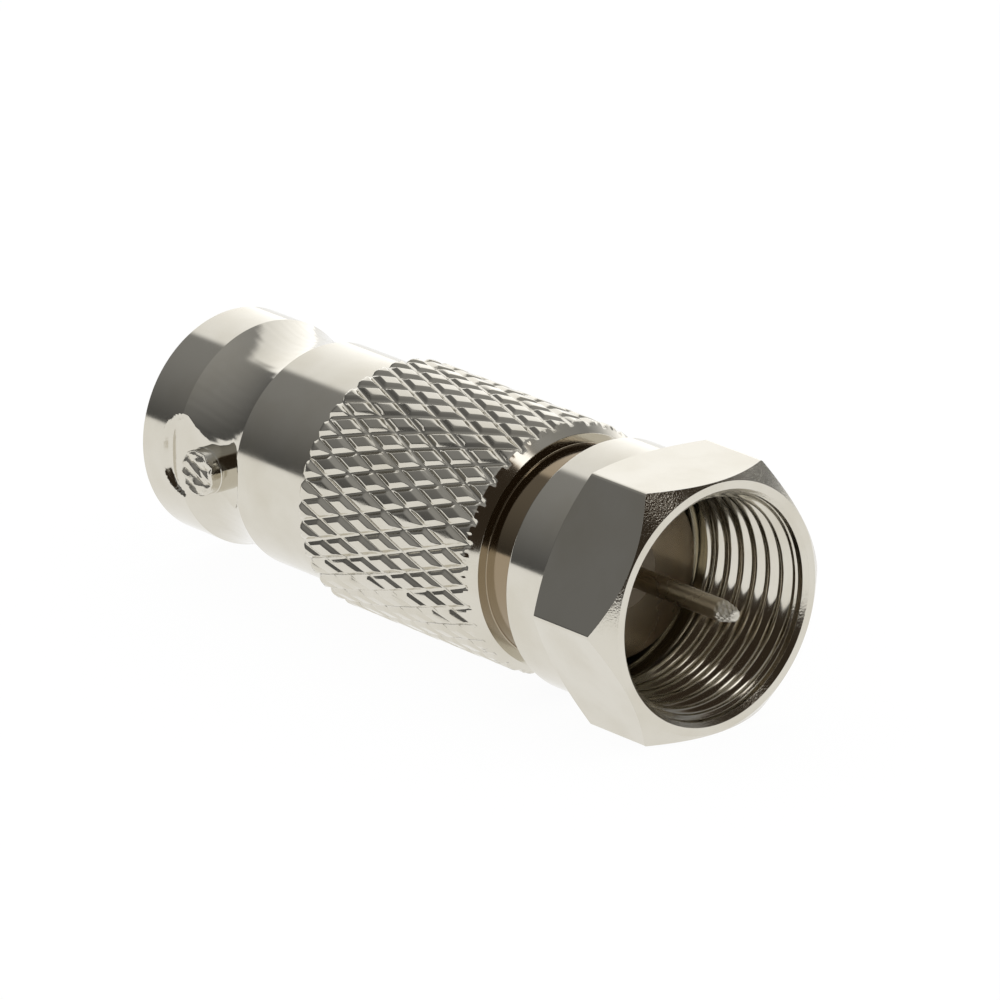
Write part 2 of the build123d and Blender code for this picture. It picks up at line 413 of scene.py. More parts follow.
turning_rings = build_turning_rings()
cloudy_stain = build_cloudy_stain()
print("shader groups", turning_rings.name, cloudy_stain.name)

# %% [markdown]
# Bright nickel is a warm grey mirror: its whole look is what it reflects. The material is fully
# metallic, with a little roughness, and the rings and stains keep it from looking computed. Where the
# coarse attribute is above 0, as on the nut's corner chamfers, the cutter left a torn surface that
# sparkles, so the bump and the roughness grow there. Where it is below 0, as on the stub behind the
# nut, the colour goes over to a painted shade of dark brown, for the narrow gap where the stub would
# reflect the nut's dark back. Brass and beryllium bronze use the same builder with other
# values, and the plastics have a simpler one.

# %% Metal and plastic finishes
STAIN_ROUGHER, TORN_ROUGHER = 0.06, 0.08
MOTTLE_PER_M = 900.0
GRAIN_RINGS_PER_MM = 6.0
GRAIN_ROUGHER = 0.12
GRAIN_STRENGTH, GRAIN_HEIGHT = 0.4, 0.004 * MM


def new_finish(name):
    """A new material with its node tree and its Principled shader."""
    material = bpy.data.materials.new(name)
    material.use_nodes = True
    return material, material.node_tree, material.node_tree.nodes["Principled BSDF"]


def bump_surface(tree, shader, height, strength, distance):
    """Bends the shader's normal by a height, which counts in units of distance."""
    bump = place(tree, "ShaderNodeBump")
    bump.inputs["Strength"].default_value = strength
    bump.inputs["Distance"].default_value = distance
    tree.links.new(height, bump.inputs["Height"])
    tree.links.new(bump.outputs["Normal"], shader.inputs["Normal"])


def turned_metal(name, bright, dull, roughness, ring_height, torn_height=0.0, torn=None, painted_shade=None):
    """A metal whose colour lies between bright and dull by the stain, with rings and grit as bump.

    Where coarse is above 0 it is torn: the grit stands torn_height high, and the colour goes over to
    torn, if that is given. Where coarse is below 0 the colour goes over to painted_shade in the same
    way, which is painted shade and not a stain of the metal.
    """
    material, tree, shader = new_finish(name)
    shader.inputs["Metallic"].default_value = 1.0
    rings = place(tree, "ShaderNodeGroup", node_tree=turning_rings)
    stain = place(tree, "ShaderNodeGroup", node_tree=cloudy_stain)
    colour = blend_colour(tree, stain.outputs["Share"], (*bright, 1.0), (*dull, 1.0))
    coarse = place(tree, "ShaderNodeAttribute", attribute_name="coarse")
    torn_share = math_node(tree, "MULTIPLY", coarse.outputs["Fac"], 1.0, clamp=True)
    if torn:
        colour = blend_colour(tree, torn_share, colour, (*torn, 1.0))
    if painted_shade:
        painted_shade_share = math_node(tree, "MULTIPLY", coarse.outputs["Fac"], -1.0, clamp=True)
        colour = blend_colour(tree, painted_shade_share, colour, (*painted_shade, 1.0))
    tree.links.new(colour, shader.inputs["Base Color"])
    spread = math_node(tree, "MULTIPLY_ADD", stain.outputs["Share"], STAIN_ROUGHER, roughness)
    spread = math_node(tree, "MULTIPLY_ADD", torn_share, TORN_ROUGHER, spread)
    tree.links.new(spread, shader.inputs["Roughness"])
    ring_part = math_node(tree, "MULTIPLY", rings.outputs["Height"], ring_height)
    torn_part = math_node(tree, "MULTIPLY", rings.outputs["Grit"], torn_height)
    torn_part = math_node(tree, "MULTIPLY", torn_part, torn_share)
    bump_surface(tree, shader, math_node(tree, "ADD", ring_part, torn_part), 1.0, MM)
    return material


def moulded_plastic(name, colour, shade, roughness):
    """A plastic with a faint mottle and very fine grain."""
    material, tree, shader = new_finish(name)
    stain = place(tree, "ShaderNodeGroup", node_tree=cloudy_stain)
    stain.inputs["Size per m"].default_value = MOTTLE_PER_M
    mottled = blend_colour(tree, stain.outputs["Share"], (*colour, 1.0), (*shade, 1.0))
    tree.links.new(mottled, shader.inputs["Base Color"])
    rings = place(tree, "ShaderNodeGroup", node_tree=turning_rings)
    rings.inputs["Rings per mm"].default_value = GRAIN_RINGS_PER_MM
    rough = math_node(tree, "MULTIPLY_ADD", rings.outputs["Grit"], GRAIN_ROUGHER, roughness)
    tree.links.new(rough, shader.inputs["Roughness"])
    bump_surface(tree, shader, rings.outputs["Height"], GRAIN_STRENGTH, GRAIN_HEIGHT)
    return material


NICKEL, NICKEL_DULL = (0.66, 0.63, 0.555), (0.61, 0.575, 0.49)
# Painted shade: the dark brown put on the stub for the narrow gap at the nut's dark back.
PAINTED_GAP_SHADE = (0.3, 0.235, 0.155)
nickel_body = turned_metal(
    "nickel_body", NICKEL, NICKEL_DULL, 0.1, 0.0006, torn_height=0.02, painted_shade=PAINTED_GAP_SHADE
)
nickel_nut = turned_metal("nickel_nut", NICKEL, NICKEL_DULL, 0.1, 0.0005, torn_height=0.011)
ferrule_brass = turned_metal("ferrule_brass", (0.5, 0.43, 0.33), (0.4, 0.33, 0.24), 0.24, 0.002)
# The pin's colour is brass darkened to brown: partly the brass, partly painted shade for the dark inside
# of the nut that the pin reflects.
pin_brass_painted_shade = turned_metal(
    "pin_brass_painted_shade", (0.4, 0.34, 0.25), (0.32, 0.26, 0.18), 0.26, 0.0008, torn_height=0.05, torn=NICKEL
)
contact_bronze = turned_metal("contact_bronze", (0.66, 0.58, 0.42), (0.55, 0.46, 0.31), 0.18, 0.0008)
jack_plastic = moulded_plastic("jack_plastic", (0.86, 0.85, 0.82), (0.8, 0.785, 0.74), 0.42)
plug_plastic = moulded_plastic("plug_plastic", (0.17, 0.135, 0.09), (0.12, 0.095, 0.06), 0.4)
print("finishes", len(bpy.data.materials))

# %% [markdown]
# The knurl is rolled by two wheels, one of each hand, whose V grooves cross and leave flat-topped
# diamonds. A displacement texture would blur their edges. Instead the mesh follows the grooves: its
# two directions u and v are the two groove families, so each groove wall falls exactly on rows of
# points. A whole number in u and v is the middle of a diamond, and a half is a groove's floor.

# %% Knurl
CELL = np.array([0, 0.11, 0.2, 0.245, 0.29, 0.4, 0.5, 0.6, 0.71, 0.755, 0.8, 0.89])
STEPS = len(CELL)
COLUMNS = KNURL_COUNT * STEPS
KNURL_ROWS = KNURL_HALF_ROWS * STEPS
HALF_TURN = math.pi / KNURL_COUNT
KNURL_LENGTH = KNURL_BACK - KNURL_FRONT
HALF_LENGTH = KNURL_LENGTH / KNURL_HALF_ROWS
BEVEL_SLOPE = (BAND - BAND_FACE) / (KNURL_FRONT - BAND_FRONT)
BEVEL_START = BAND_FRONT + 0.05
BEVEL_ROWS = 9
GROOVE_WANDER, GROOVE_UNEVEN = 0.012, 0.05
GROOVE_EASE, DIAMOND_EASE, CROSSING_EASE, BEVEL_EASE = 0.02, 0.1, 0.06, 0.015
DEEPEST_SHARE = 1.15
BACK_LENGTH, BACK_DROP = 0.2, 0.1
BURRS_PER_TOOTH = 3
BURR_REACH = 0.018
BURR_LENGTH, BURR_FADE = 0.15, 0.1
TURN_STEP, STATION_STEP = 0.0008, 0.004
rolling = np.random.default_rng(36)
groove_wander = rolling.normal(0, GROOVE_WANDER, (2, KNURL_COUNT))
groove_deep = 1 + rolling.normal(0, GROOVE_UNEVEN, (2, KNURL_COUNT))
burr_reach = rolling.uniform(0.0, BURR_REACH, BURRS_PER_TOOTH * KNURL_COUNT)


def cell_place(index):
    """The coordinate of a lattice line: whole diamonds, plus its place inside one."""
    return index // STEPS + CELL[index % STEPS]


def groove_share(place_on, family):
    """Depth of a rounded V: 1 - e / half width, where e is the rounded distance from the floor."""
    which = np.floor(place_on).astype(int) % KNURL_COUNT
    off = place_on - np.floor(place_on) - 0.5 - groove_wander[family][which]
    half_width = (1 - KNURL_LAND) / 2
    slope = 1 - np.sqrt(off**2 + GROOVE_EASE**2) / half_width
    return groove_deep[family][which] * soft_max(slope, 0, DIAMOND_EASE)


def knurl_radius(turn, station):
    """Land radius less the deeper groove, cut by the front bevel's cone and rounded off at the back.

    The cone was turned after rolling, and pushed small burrs up where it meets the knurl.
    """
    p = turn / (2 * HALF_TURN)
    q = (station - KNURL_FRONT) / (2 * HALF_LENGTH)
    one, other = groove_share(p + q, 0), groove_share(p - q, 1)
    deeper = soft_max(one, other, CROSSING_EASE)
    radius = KNURL - KNURL_DEPTH * np.clip(deeper, 0, DEEPEST_SHARE)
    burr = turn * BURRS_PER_TOOTH / (2 * HALF_TURN)
    reach = burr_reach[np.floor(burr).astype(int) % len(burr_reach)] * np.abs(np.mod(burr, 1) - 0.5) * 2
    reach = reach * np.clip((station - KNURL_FRONT + BURR_LENGTH) / BURR_FADE, 0, 1)
    cone = BAND + (station - KNURL_FRONT + reach) * BEVEL_SLOPE
    radius = -soft_max(-radius, -cone, BEVEL_EASE)
    behind = np.clip(1 - (KNURL_BACK - station) / BACK_LENGTH, 0, 1)
    return radius - BACK_DROP * behind**2


def radial_normals(radius_of, turn, station, inward=False):
    """Normal of r = R(turn, station): e_r - (dR/dturn / R) e_turn + dR/dstation e_x, by differences."""
    dt, ds = TURN_STEP, STATION_STEP
    radius = radius_of(turn, station)
    by_turn = (radius_of(turn + dt, station) - radius_of(turn - dt, station)) / (2 * dt)
    by_station = (radius_of(turn, station + ds) - radius_of(turn, station - ds)) / (2 * ds)
    sine, cosine, lean = np.sin(turn), np.cos(turn), by_turn / radius
    normals = np.stack([by_station, sine - lean * cosine, cosine + lean * sine], -1)
    return unit(-normals if inward else normals)


body_turns = 2 * HALF_TURN * cell_place(np.arange(COLUMNS))
lattice_d, lattice_j = np.meshgrid(np.arange(KNURL_ROWS + 1), np.arange(COLUMNS), indexing="ij")
u, v = cell_place(lattice_d + lattice_j), cell_place(lattice_j)
knurl_turns = HALF_TURN * (u + v)
knurl_stations = KNURL_FRONT + HALF_LENGTH * (u - v)
knurl_radii = knurl_radius(knurl_turns, knurl_stations)
knurl_points = around(knurl_stations, knurl_radii, knurl_turns)
knurl_normals = radial_normals(knurl_radius, knurl_turns, knurl_stations)
bevel_stations = np.linspace(BEVEL_START, KNURL_FRONT, BEVEL_ROWS)[:, None] + 0 * body_turns
bevel_turns = 0 * bevel_stations + body_turns
bevel_rows = around(bevel_stations, knurl_radius(bevel_turns, bevel_stations), bevel_turns)
bevel_normals = radial_normals(knurl_radius, bevel_turns, bevel_stations)
end_radii = knurl_radius(body_turns, np.full(COLUMNS, KNURL_BACK))
back_ring = around(KNURL_BACK, end_radii, body_turns)
knurl_points[0] = bevel_rows[-1]
knurl_points[-1] = np.roll(back_ring, -KNURL_ROWS // 2, axis=0)

row, column = np.meshgrid(np.arange(KNURL_ROWS + 1), np.arange(COLUMNS), indexing="ij")
beside = (column + 1) % COLUMNS
this = row * COLUMNS + column
level = row * COLUMNS + beside
ahead_of = np.minimum(row + 1, KNURL_ROWS) * COLUMNS + column
behind_of = np.maximum(row - 1, 0) * COLUMNS + beside
first_row = np.stack([this, ahead_of, level, level], -1)[0]
last_row = np.stack([this, level, behind_of, behind_of], -1)[-1]
inner_rows = np.stack([this, ahead_of, level, behind_of], -1)[1:-1].reshape(-1, 4)
# Walls of two crossing grooves meet in a crease. Each face is split along the diagonal that follows it.
JUST_INSIDE = 0.02
middle_u = np.mod(u[1:-1].reshape(-1) + JUST_INSIDE, 1) - 0.5
middle_v = np.mod(v[1:-1].reshape(-1) + JUST_INSIDE, 1) - 0.5
rotated = inner_rows[:, [1, 2, 3, 0]]
inner_rows = np.where((middle_u * middle_v > 0)[:, None], inner_rows, rotated)
knurl_patch = (
    knurl_points.reshape(-1, 3),
    knurl_normals.reshape(-1, 3),
    np.concatenate([first_row, inner_rows, last_row]),
    np.zeros(knurl_points.size // 3),
)
print("knurl rows", KNURL_ROWS, "columns", COLUMNS)

# %% [markdown]
# The rest of the body is one turned section: shoulder, hollow waist, rim, the jack's bore, the bore
# through the middle, the stub and the band. The tool chattered in the waist, so its normals carry a
# faint ripple. Round each lug a cutter milled a flat with a steep wall, the land, so points that would
# stand above it are pulled in to it. The lug itself was sheared off to length, which leaves ragged
# ridges on its end.

# %% Adapter body
WAIST_EASE = 0.04
WAIST_ROWS = 28
OUTSIDE_END = JACK_FACE - 0.13
ROW_SPACING, FINE_SPACING = 0.14, 0.05
LAND_SPAN = (SHOULDER_BACK - 0.5, 29.4)
WALL_SPANS = ((SHOULDER_BACK - 0.3, SHOULDER_BACK + 0.1), (27.75, 29.15))
CHATTER, CHATTER_WAVES = 0.013, 61
FINE_CHATTER, FINE_CHATTER_WAVES = 0.008, 97
HALVINGS = 24
BACK_EDGE = 0.03
LUG_COLUMNS, LUG_RINGS = 96, 24
LUG_ROOT = LAND - 0.2
RIDGE_HEIGHT, RIDGE_POWER, CRUMB_SHARE = 0.11, 0.8, 0.3
LUG_TORN = 0.6


def waist_curve():
    """The hollow between shoulder and rim: one arc through (s0, r0), (s1, r1) and, midway, (m, r2).

    The circle's centre (a, b) satisfies two straight-line equations, one for each pair of points:
    2 (s1 - s0) a + 2 (r1 - r0) b = s1 squared - s0 squared + r1 squared - r0 squared, and so on.
    """
    middle = (SHOULDER_BACK + RIM_FRONT) / 2
    ends = np.array([(SHOULDER_BACK, SHOULDER), (RIM_FRONT, RIM), (middle, WAIST)])
    squares = (ends**2).sum(1)
    centre = np.linalg.solve(2 * (ends[1:] - ends[0]), squares[1:] - squares[0])
    radius = np.hypot(*(ends[0] - centre))
    stations = np.linspace(SHOULDER_BACK + WAIST_EASE, RIM_FRONT - WAIST_EASE, WAIST_ROWS)
    drop = np.sqrt(radius**2 - (stations - centre[0]) ** 2)
    ways = np.stack([drop, stations - centre[0]], -1) / radius
    return np.stack([stations, centre[1] - drop], -1), ways


hollow, hollow_ways = waist_curve()
wall_drop = rounded(
    [(KNURL_BACK, SHOULDER + 0.1), (KNURL_BACK, SHOULDER), (SHOULDER_BACK, SHOULDER), hollow[0]],
    [0.03, 0.04],
)
rim_and_inside = rounded(
    [
        hollow[-1],
        (RIM_FRONT, RIM),
        (JACK_FACE - RIM_CHAMFER, RIM),
        (JACK_FACE, RIM - RIM_CHAMFER),
        (JACK_FACE, JACK_BORE + JACK_BORE_CHAMFER),
        (JACK_FACE - JACK_BORE_CHAMFER, JACK_BORE),
        (JACK_FLOOR, JACK_BORE),
        (JACK_FLOOR, WEB_BORE),
        (WEB_FRONT, WEB_BORE),
        (WEB_FRONT, BODY_BORE),
        (STUB_FRONT, BODY_BORE),
        (STUB_FRONT, STUB),
        (BAND_FRONT, STUB),
        (BAND_FRONT, BAND_FACE),
        (KNURL_FRONT, BAND),
    ],
    [0.04, 0.04, 0.04, 0.03, 0.03, 0.08, 0.03, 0.03, 0.03, 0.03, 0.05, 0.06, 0.03],
    steps=3,
)
wall_drop = (wall_drop[0][:-1], wall_drop[1][:-1])
section = np.concatenate([wall_drop[0], hollow[:-1], rim_and_inside[0]])
section_ways = np.concatenate([wall_drop[1], hollow_ways[:-1], rim_and_inside[1]])
outer_rows = int(np.argmax(section[:, 0] > OUTSIDE_END))
outer, outer_ways = section[:outer_rows], section_ways[:outer_rows]
outer, outer_ways = fill_rows(outer, outer_ways, ROW_SPACING, *LAND_SPAN)
for span in WALL_SPANS:
    outer, outer_ways = fill_rows(outer, outer_ways, FINE_SPACING, *span)
section = np.concatenate([outer, section[outer_rows:]])
section_ways = np.concatenate([outer_ways, section_ways[outer_rows:]])
section_turns = np.broadcast_to(body_turns, (len(section), COLUMNS)).copy()
# Inside, where little shows, the columns fall together in threes, and make_piece joins them.
section_turns[len(outer) + 4 : -3] = np.repeat(body_turns[::3], 3)
section_stations = section[:, 0, None]
section_points = around(section_stations, section[:, 1, None], section_turns)
section_normals = turned_normals(section_ways, section_turns)
on_waist = (section_stations > SHOULDER_BACK) & (section_stations < RIM_FRONT)
chatter = CHATTER * np.sin(CHATTER_WAVES * section_turns + 2.1 * np.sin(1.3 * section_stations))
chatter = chatter + FINE_CHATTER * np.sin(FINE_CHATTER_WAVES * section_turns - 3.0 * section_stations)
chatter = on_waist * chatter
section_normals[..., 1] += chatter * np.cos(section_turns)
section_normals[..., 2] -= chatter * np.sin(section_turns)
section_normals = unit(section_normals)


def cut_lands(points, normals, rows):
    """Pulls points in to the height y = LAND + LAND_WALL (w + sqrt(w squared + ease squared)) / 2.

    Here w = rho - LAND_RADIUS, and rho cubed is x cubed plus (LAND_SQUAT z) cubed, counted from the
    land's middle, which draws a disc with flattened sides. The pull is radial. The radius where the
    point meets that height is found by halving the span between the flat and the section. Normals
    there are the cross product of the steps to the neighbouring rows and columns.
    """
    cut, cut_normals = points[:rows].copy(), normals[:rows].copy()
    radius = np.hypot(cut[..., 1], cut[..., 2])
    sine, cosine = cut[..., 1] / radius, cut[..., 2] / radius
    along = cut[..., 0] + LAND_STATION

    def above_land(reach):
        rho = (np.abs(along) ** 3 + np.abs(LAND_SQUAT * reach * cosine) ** 3) ** (1 / 3)
        rise = LAND_WALL * soft_max(rho - LAND_RADIUS, 0, LAND_EASE)
        return reach * np.abs(sine) - LAND - rise

    near_lug = np.abs(sine) > 0.7
    low = np.minimum(LAND / np.maximum(np.abs(sine), 0.5), radius)
    high = radius.copy()
    for _ in range(HALVINGS):
        middle = 0.5 * (low + high)
        over = above_land(middle) > 0
        high = np.where(over, middle, high)
        low = np.where(over, low, middle)
    lowered = near_lug & (above_land(radius) > 0)
    new_radius = np.where(lowered, low, radius)
    cut[..., 1] = new_radius * sine
    cut[..., 2] = new_radius * cosine
    by_row = np.gradient(cut, axis=0)
    by_column = np.roll(cut, -1, axis=1) - np.roll(cut, 1, axis=1)
    milled = unit(np.cross(by_row, by_column))
    milled *= np.where((milled * cut_normals).sum(-1, keepdims=True) < 0, -1, 1)
    near = lowered | np.roll(lowered, 1, axis=1) | np.roll(lowered, -1, axis=1)
    near[1:] |= lowered[:-1]
    near[:-1] |= lowered[1:]
    cut_normals = np.where(near[..., None], milled, cut_normals)
    points[:rows] = np.where(lowered[..., None], cut, points[:rows])
    normals[:rows] = cut_normals
    return int(lowered.sum())


print("land points", cut_lands(section_points, section_normals, len(outer)))
edge_rows = np.stack([back_ring, around(KNURL_BACK, end_radii - BACK_EDGE, body_turns)])
wall_normals = np.broadcast_to([-1.0, 0.0, 0.0], edge_rows[1:].shape)
ring_normals = radial_normals(knurl_radius, body_turns, np.full(COLUMNS, KNURL_BACK))
edge_normals = np.concatenate([ring_normals[None], wall_normals])
body_points = np.concatenate([edge_rows, section_points[:-1], bevel_rows])
body_normals = np.concatenate([edge_normals, section_normals[:-1], bevel_normals])
# The stub's rows get coarse below 0, which paints shade of dark brown on them for the gap beside the
# nut's back.
on_stub = (np.abs(section[:-1, 1] - STUB) < 0.07) & (section[:-1, 0] < BAND_FRONT)
painted_shade_rows = -np.concatenate([np.zeros(2), on_stub, np.zeros(len(bevel_rows))])[:, None]
body_patch = patch(body_points, body_normals, painted_shade_rows)


def lug_patch(side):
    """A pillar along Y on its land: a foot, a straight side, a small edge and a sheared end.

    Its end is a disc of rings, each point at height reach - ridges, where the ridges are sines across z
    whose phase drifts along x, as a shear leaves them.
    """
    turns = np.linspace(0, 2 * math.pi, LUG_COLUMNS, endpoint=False)
    sine, cosine = np.sin(turns), np.cos(turns)
    profile, ways = rounded(
        [
            (LUG_ROOT, LUG + 0.03),
            (LUG_STEP, LUG + 0.03),
            (LUG_STEP + 0.02, LUG),
            (LUG_REACH - 0.06, LUG),
            (LUG_REACH, LUG - 0.05),
        ],
        [0.01, 0.01, 0.04],
    )
    rings = np.stack([np.full(LUG_RINGS, LUG_REACH - 0.01), LUG * np.linspace(0.95, 0, LUG_RINGS)], -1)
    profile = np.concatenate([profile[:-1], rings])
    ways = np.concatenate([ways[:-1], np.broadcast_to([0.0, -1.0], (LUG_RINGS, 2))])
    height, radius = profile[:, 0, None], profile[:, 1, None]
    x, z = radius * sine, radius * cosine
    top = np.clip((height - (LUG_REACH - 0.14)) / 0.1, 0, 1)

    def ridges(x, z):
        phase = 5.6 * z + 1.1 * np.sin(2.1 * x + 0.7) + 1.0 * np.sin(2.7 * x * z + 1.9)
        crumbs = CRUMB_SHARE * np.sin(7.0 * x + 2.0 * np.sin(5.0 * z)) * np.sin(9.0 * z + 4.0 * x)
        return RIDGE_HEIGHT * (1 - np.abs(np.sin(phase)) ** RIDGE_POWER + crumbs)

    rise = height + 0 * turns - top * (0.01 + ridges(x, z))
    points = np.stack([x - LUG_STATION, side * rise, z], -1)
    out, up = ways[:, 0, None], -side * ways[:, 1, None]
    outward = np.stack([out * sine, up + 0 * turns, out * cosine], -1)
    step = 0.01
    tilt = np.stack([
        (ridges(x + step, z) - ridges(x - step, z)) / (2 * step),
        np.full_like(x, side),
        (ridges(x, z + step) - ridges(x, z - step)) / (2 * step),
    ], -1)
    on_end = ((radius < 0.94 * LUG) & (top > 0.5))[..., None]
    normals = np.where(on_end, unit(tilt), unit(outward))
    points[-1] = points[-1, 0]
    base_middle = np.broadcast_to([-LUG_STATION, side * LUG_ROOT, 0.0], points[0].shape)
    base = np.stack([points[0], base_middle])
    down = np.broadcast_to([0.0, -side, 0.0], base.shape)
    return [patch(points, normals, LUG_TORN * top + 0 * turns), patch(base, down)]


make_piece(
    "adapter_body_fine",
    [knurl_patch, body_patch, *lug_patch(1), *lug_patch(-1)],
    nickel_body,
    "adapter",
    "adapter_body",
)

# %% [markdown]
# The nut starts as hexagon bar. Turning a cone across its front corners and another across the back
# ones leaves the curved edges of each flat, and the collar behind is turned round. So the section
# depends on the turn: at a flat's middle the bar is 5.3 mm from the axis, and at a corner 6.1 mm. Inside
# is the thread, a ridge that winds round: the radius depends on the station less one pitch a turn.

# %% Coupling nut
NUT_SIDES = 6
SIDE_COLUMNS = 48
NUT_COLUMNS = NUT_SIDES * SIDE_COLUMNS
CROWD = 0.62
CORNER_WEAR = 0.03
LEAST_CONE = 0.012
side_share = np.arange(SIDE_COLUMNS) / SIDE_COLUMNS
side_share = side_share - CROWD * np.sin(2 * math.pi * side_share) / (2 * math.pi)
side_angle = 2 * math.pi / NUT_SIDES
nut_turns = (side_angle * (np.arange(NUT_SIDES)[:, None] + 0.5 + side_share)).reshape(-1)
from_flat = np.mod(nut_turns + side_angle / 2, side_angle) - side_angle / 2
hexagon = np.minimum(NUT_FLAT / np.cos(from_flat), NUT_CORNER - CORNER_WEAR)
front_slope = (NUT_CORNER - NUT_RING) / NUT_CHAMFER
ring_edge = np.minimum(NUT_RING, hexagon)
cone_meets = np.maximum((hexagon - NUT_RING) / front_slope, LEAST_CONE)
back_meets = NUT_HEX_BACK + (NUT_CORNER - hexagon) * NUT_BACK_SLOPE
collar_meets = NUT_HEX_BACK + (NUT_CORNER - NUT_COLLAR) * NUT_BACK_SLOPE
level_ring = np.ones(NUT_COLUMNS)


def corner(station, radius):
    """One corner of the section for every column."""
    return np.stack([station * level_ring, radius * level_ring])


nut_outside, nut_ways = rounded(
    [
        corner(MOUTH_LENGTH, MOUTH),
        corner(MOUTH_CHAMFER, MOUTH),
        corner(0.0, MOUTH + MOUTH_CHAMFER),
        corner(0.0, ring_edge),
        corner(cone_meets, hexagon),
        corner(back_meets, hexagon),
        corner(collar_meets, NUT_COLLAR),
        corner(NUT_BACK, NUT_COLLAR),
        corner(NUT_BACK, LIP_BORE),
        corner(LIP_FRONT, LIP_BORE),
        corner(LIP_FRONT, RELIEF),
        corner(RELIEF_FRONT, RELIEF),
        corner(RELIEF_FRONT, THREAD_RUNOUT),
    ],
    [0.02, 0.02, 0.006, 0.015, 0.04, 0.14, 0.12, 0.03, 0.03, 0.03, 0.02],
)
outside_points = around(nut_outside[:, 0], nut_outside[:, 1], nut_turns)
by_turn = np.roll(outside_points, -1, axis=1) - np.roll(outside_points, 1, axis=1)
sine, cosine = np.sin(nut_turns), np.cos(nut_turns)
travel = np.stack([-nut_ways[:, 0], nut_ways[:, 1] * sine, nut_ways[:, 1] * cosine], -1)
outside_normals = unit(np.cross(travel, by_turn))
revolved = np.stack([nut_ways[:, 1], nut_ways[:, 0] * sine, nut_ways[:, 0] * cosine], -1)
outside_normals *= np.where((outside_normals * revolved).sum(-1, keepdims=True) < 0, -1, 1)

THREAD_ROWS = 120
THREAD_EASE, THREAD_START, THREAD_END = 0.03, 0.08, 0.12
MOUTH_COARSE, MOUTH_COARSE_DEPTH = 0.7, 0.15


def thread_radius(turn, station):
    """A round ridge: ridge + (floor - ridge) (1/2 - 1/2 cos 2 pi t), t = station / pitch - turn / 2 pi.

    In front the ridge is cut back by the mouth's chamfer, and behind it runs out into the relief.
    """
    t = station / THREAD_PITCH - turn / (2 * math.pi)
    wave = 0.5 - 0.5 * np.cos(2 * math.pi * t)
    ridge = THREAD_RIDGE + (THREAD_FLOOR - THREAD_RIDGE) * wave
    mouth = MOUTH - np.maximum(0, station - MOUTH_LENGTH)
    front = soft_max(ridge, mouth, THREAD_EASE)
    start = np.clip((station - MOUTH_LENGTH) / THREAD_START, 0, 1)
    end = np.clip((RELIEF_FRONT - station) / THREAD_END, 0, 1)
    shaped = MOUTH + (front - MOUTH) * start
    return THREAD_RUNOUT + (shaped - THREAD_RUNOUT) * end


thread_stations = np.linspace(RELIEF_FRONT, MOUTH_LENGTH, THREAD_ROWS + 1)[:, None] + 0 * nut_turns
thread_turns = 0 * thread_stations + nut_turns
thread_points = around(thread_stations, thread_radius(thread_turns, thread_stations), thread_turns)
thread_normals = radial_normals(thread_radius, thread_turns, thread_stations, inward=True)
thread_points[0] = outside_points[-1]
thread_points[-1] = outside_points[0]
thread_normals[-1] = outside_normals[0]
cone_rows = np.zeros((len(nut_outside), 1))
cone_rows[3 * ARC_STEPS : 3 * ARC_STEPS + 2] = 1
mouth_rows = np.zeros((len(nut_outside), 1))
mouth_rows[: 2 * ARC_STEPS] = MOUTH_COARSE
thread_coarse = MOUTH_COARSE * np.clip((MOUTH_LENGTH + MOUTH_COARSE_DEPTH - thread_stations) / 0.1, 0, 1)
outside_patch = patch(outside_points, outside_normals, cone_rows + mouth_rows)
make_piece(
    "coupling_nut_fine",
    [outside_patch, patch(thread_points, thread_normals, thread_coarse)],
    nickel_nut,
    "nut",
    "coupling_nut",
)

# %% [markdown]
# The centre pin is brass wire, sheared to a rough cone. Its shaft is turned like the rest, and a sum
# of sines in two directions roughens the cone, so that its facets catch the light.

# %% Centre pin
PIN_COLUMNS = 64
CONE_SPACING = 0.035
ROUGH, FINE_ROUGH = 0.07, 0.045


def pin_patch():
    """Tip, cone, shaft and root, with radius times 1 + roughness on the cone."""
    turns = np.linspace(0, 2 * math.pi, PIN_COLUMNS, endpoint=False)
    cone_back = PIN_TIP + PIN_CONE
    line, ways = rounded(
        [
            (PIN_TIP, 0.0),
            (PIN_TIP, PIN_CONE_TIP),
            (cone_back, PIN),
            (PIN_ROOT_FRONT, PIN),
            (PIN_ROOT_FRONT, PIN_ROOT),
            (PIN_BACK, PIN_ROOT),
            (PIN_BACK, 0.0),
        ],
        [0.12, 0.12, 0.02, 0.02, 0.02],
    )
    line, ways = fill_rows(line, ways, CONE_SPACING, PIN_TIP, cone_back)
    cone = np.clip((cone_back + 0.05 - line[:, 0]) / 0.2, 0, 1)[:, None]
    s = line[:, 0, None]

    def rough(turn, station):
        wave = np.sin(5 * turn + 9 * station) * np.sin(14 * station + 2 * np.sin(3 * turn))
        return ROUGH * wave + FINE_ROUGH * np.sin(9 * turn - 21 * station + 1.3)

    step = 0.02
    swell = 1 + cone * rough(turns, s)
    points = around(s + 0 * turns, line[:, 1, None] * swell, turns)
    normals = turned_normals(ways, turns)
    radius = np.maximum(line[:, 1, None], 0.1)
    by_turn = cone * (rough(turns + step, s) - rough(turns - step, s)) / (2 * step)
    by_station = cone * radius * (rough(turns, s + step) - rough(turns, s - step)) / (2 * step)
    lean = np.stack([by_station, -by_turn * np.cos(turns), by_turn * np.sin(turns)], -1)
    normals = unit(normals + lean)
    return patch(points, normals, cone + 0 * turns)


make_piece("centre_pin_fine", [pin_patch()], pin_brass_painted_shade, "adapter", "centre_pin")

# %% [markdown]
# The ferrule, both insulators and the slotted jack contact are simple turned shapes that the CAD
# meshes already hold, so they stay and only get their finish.

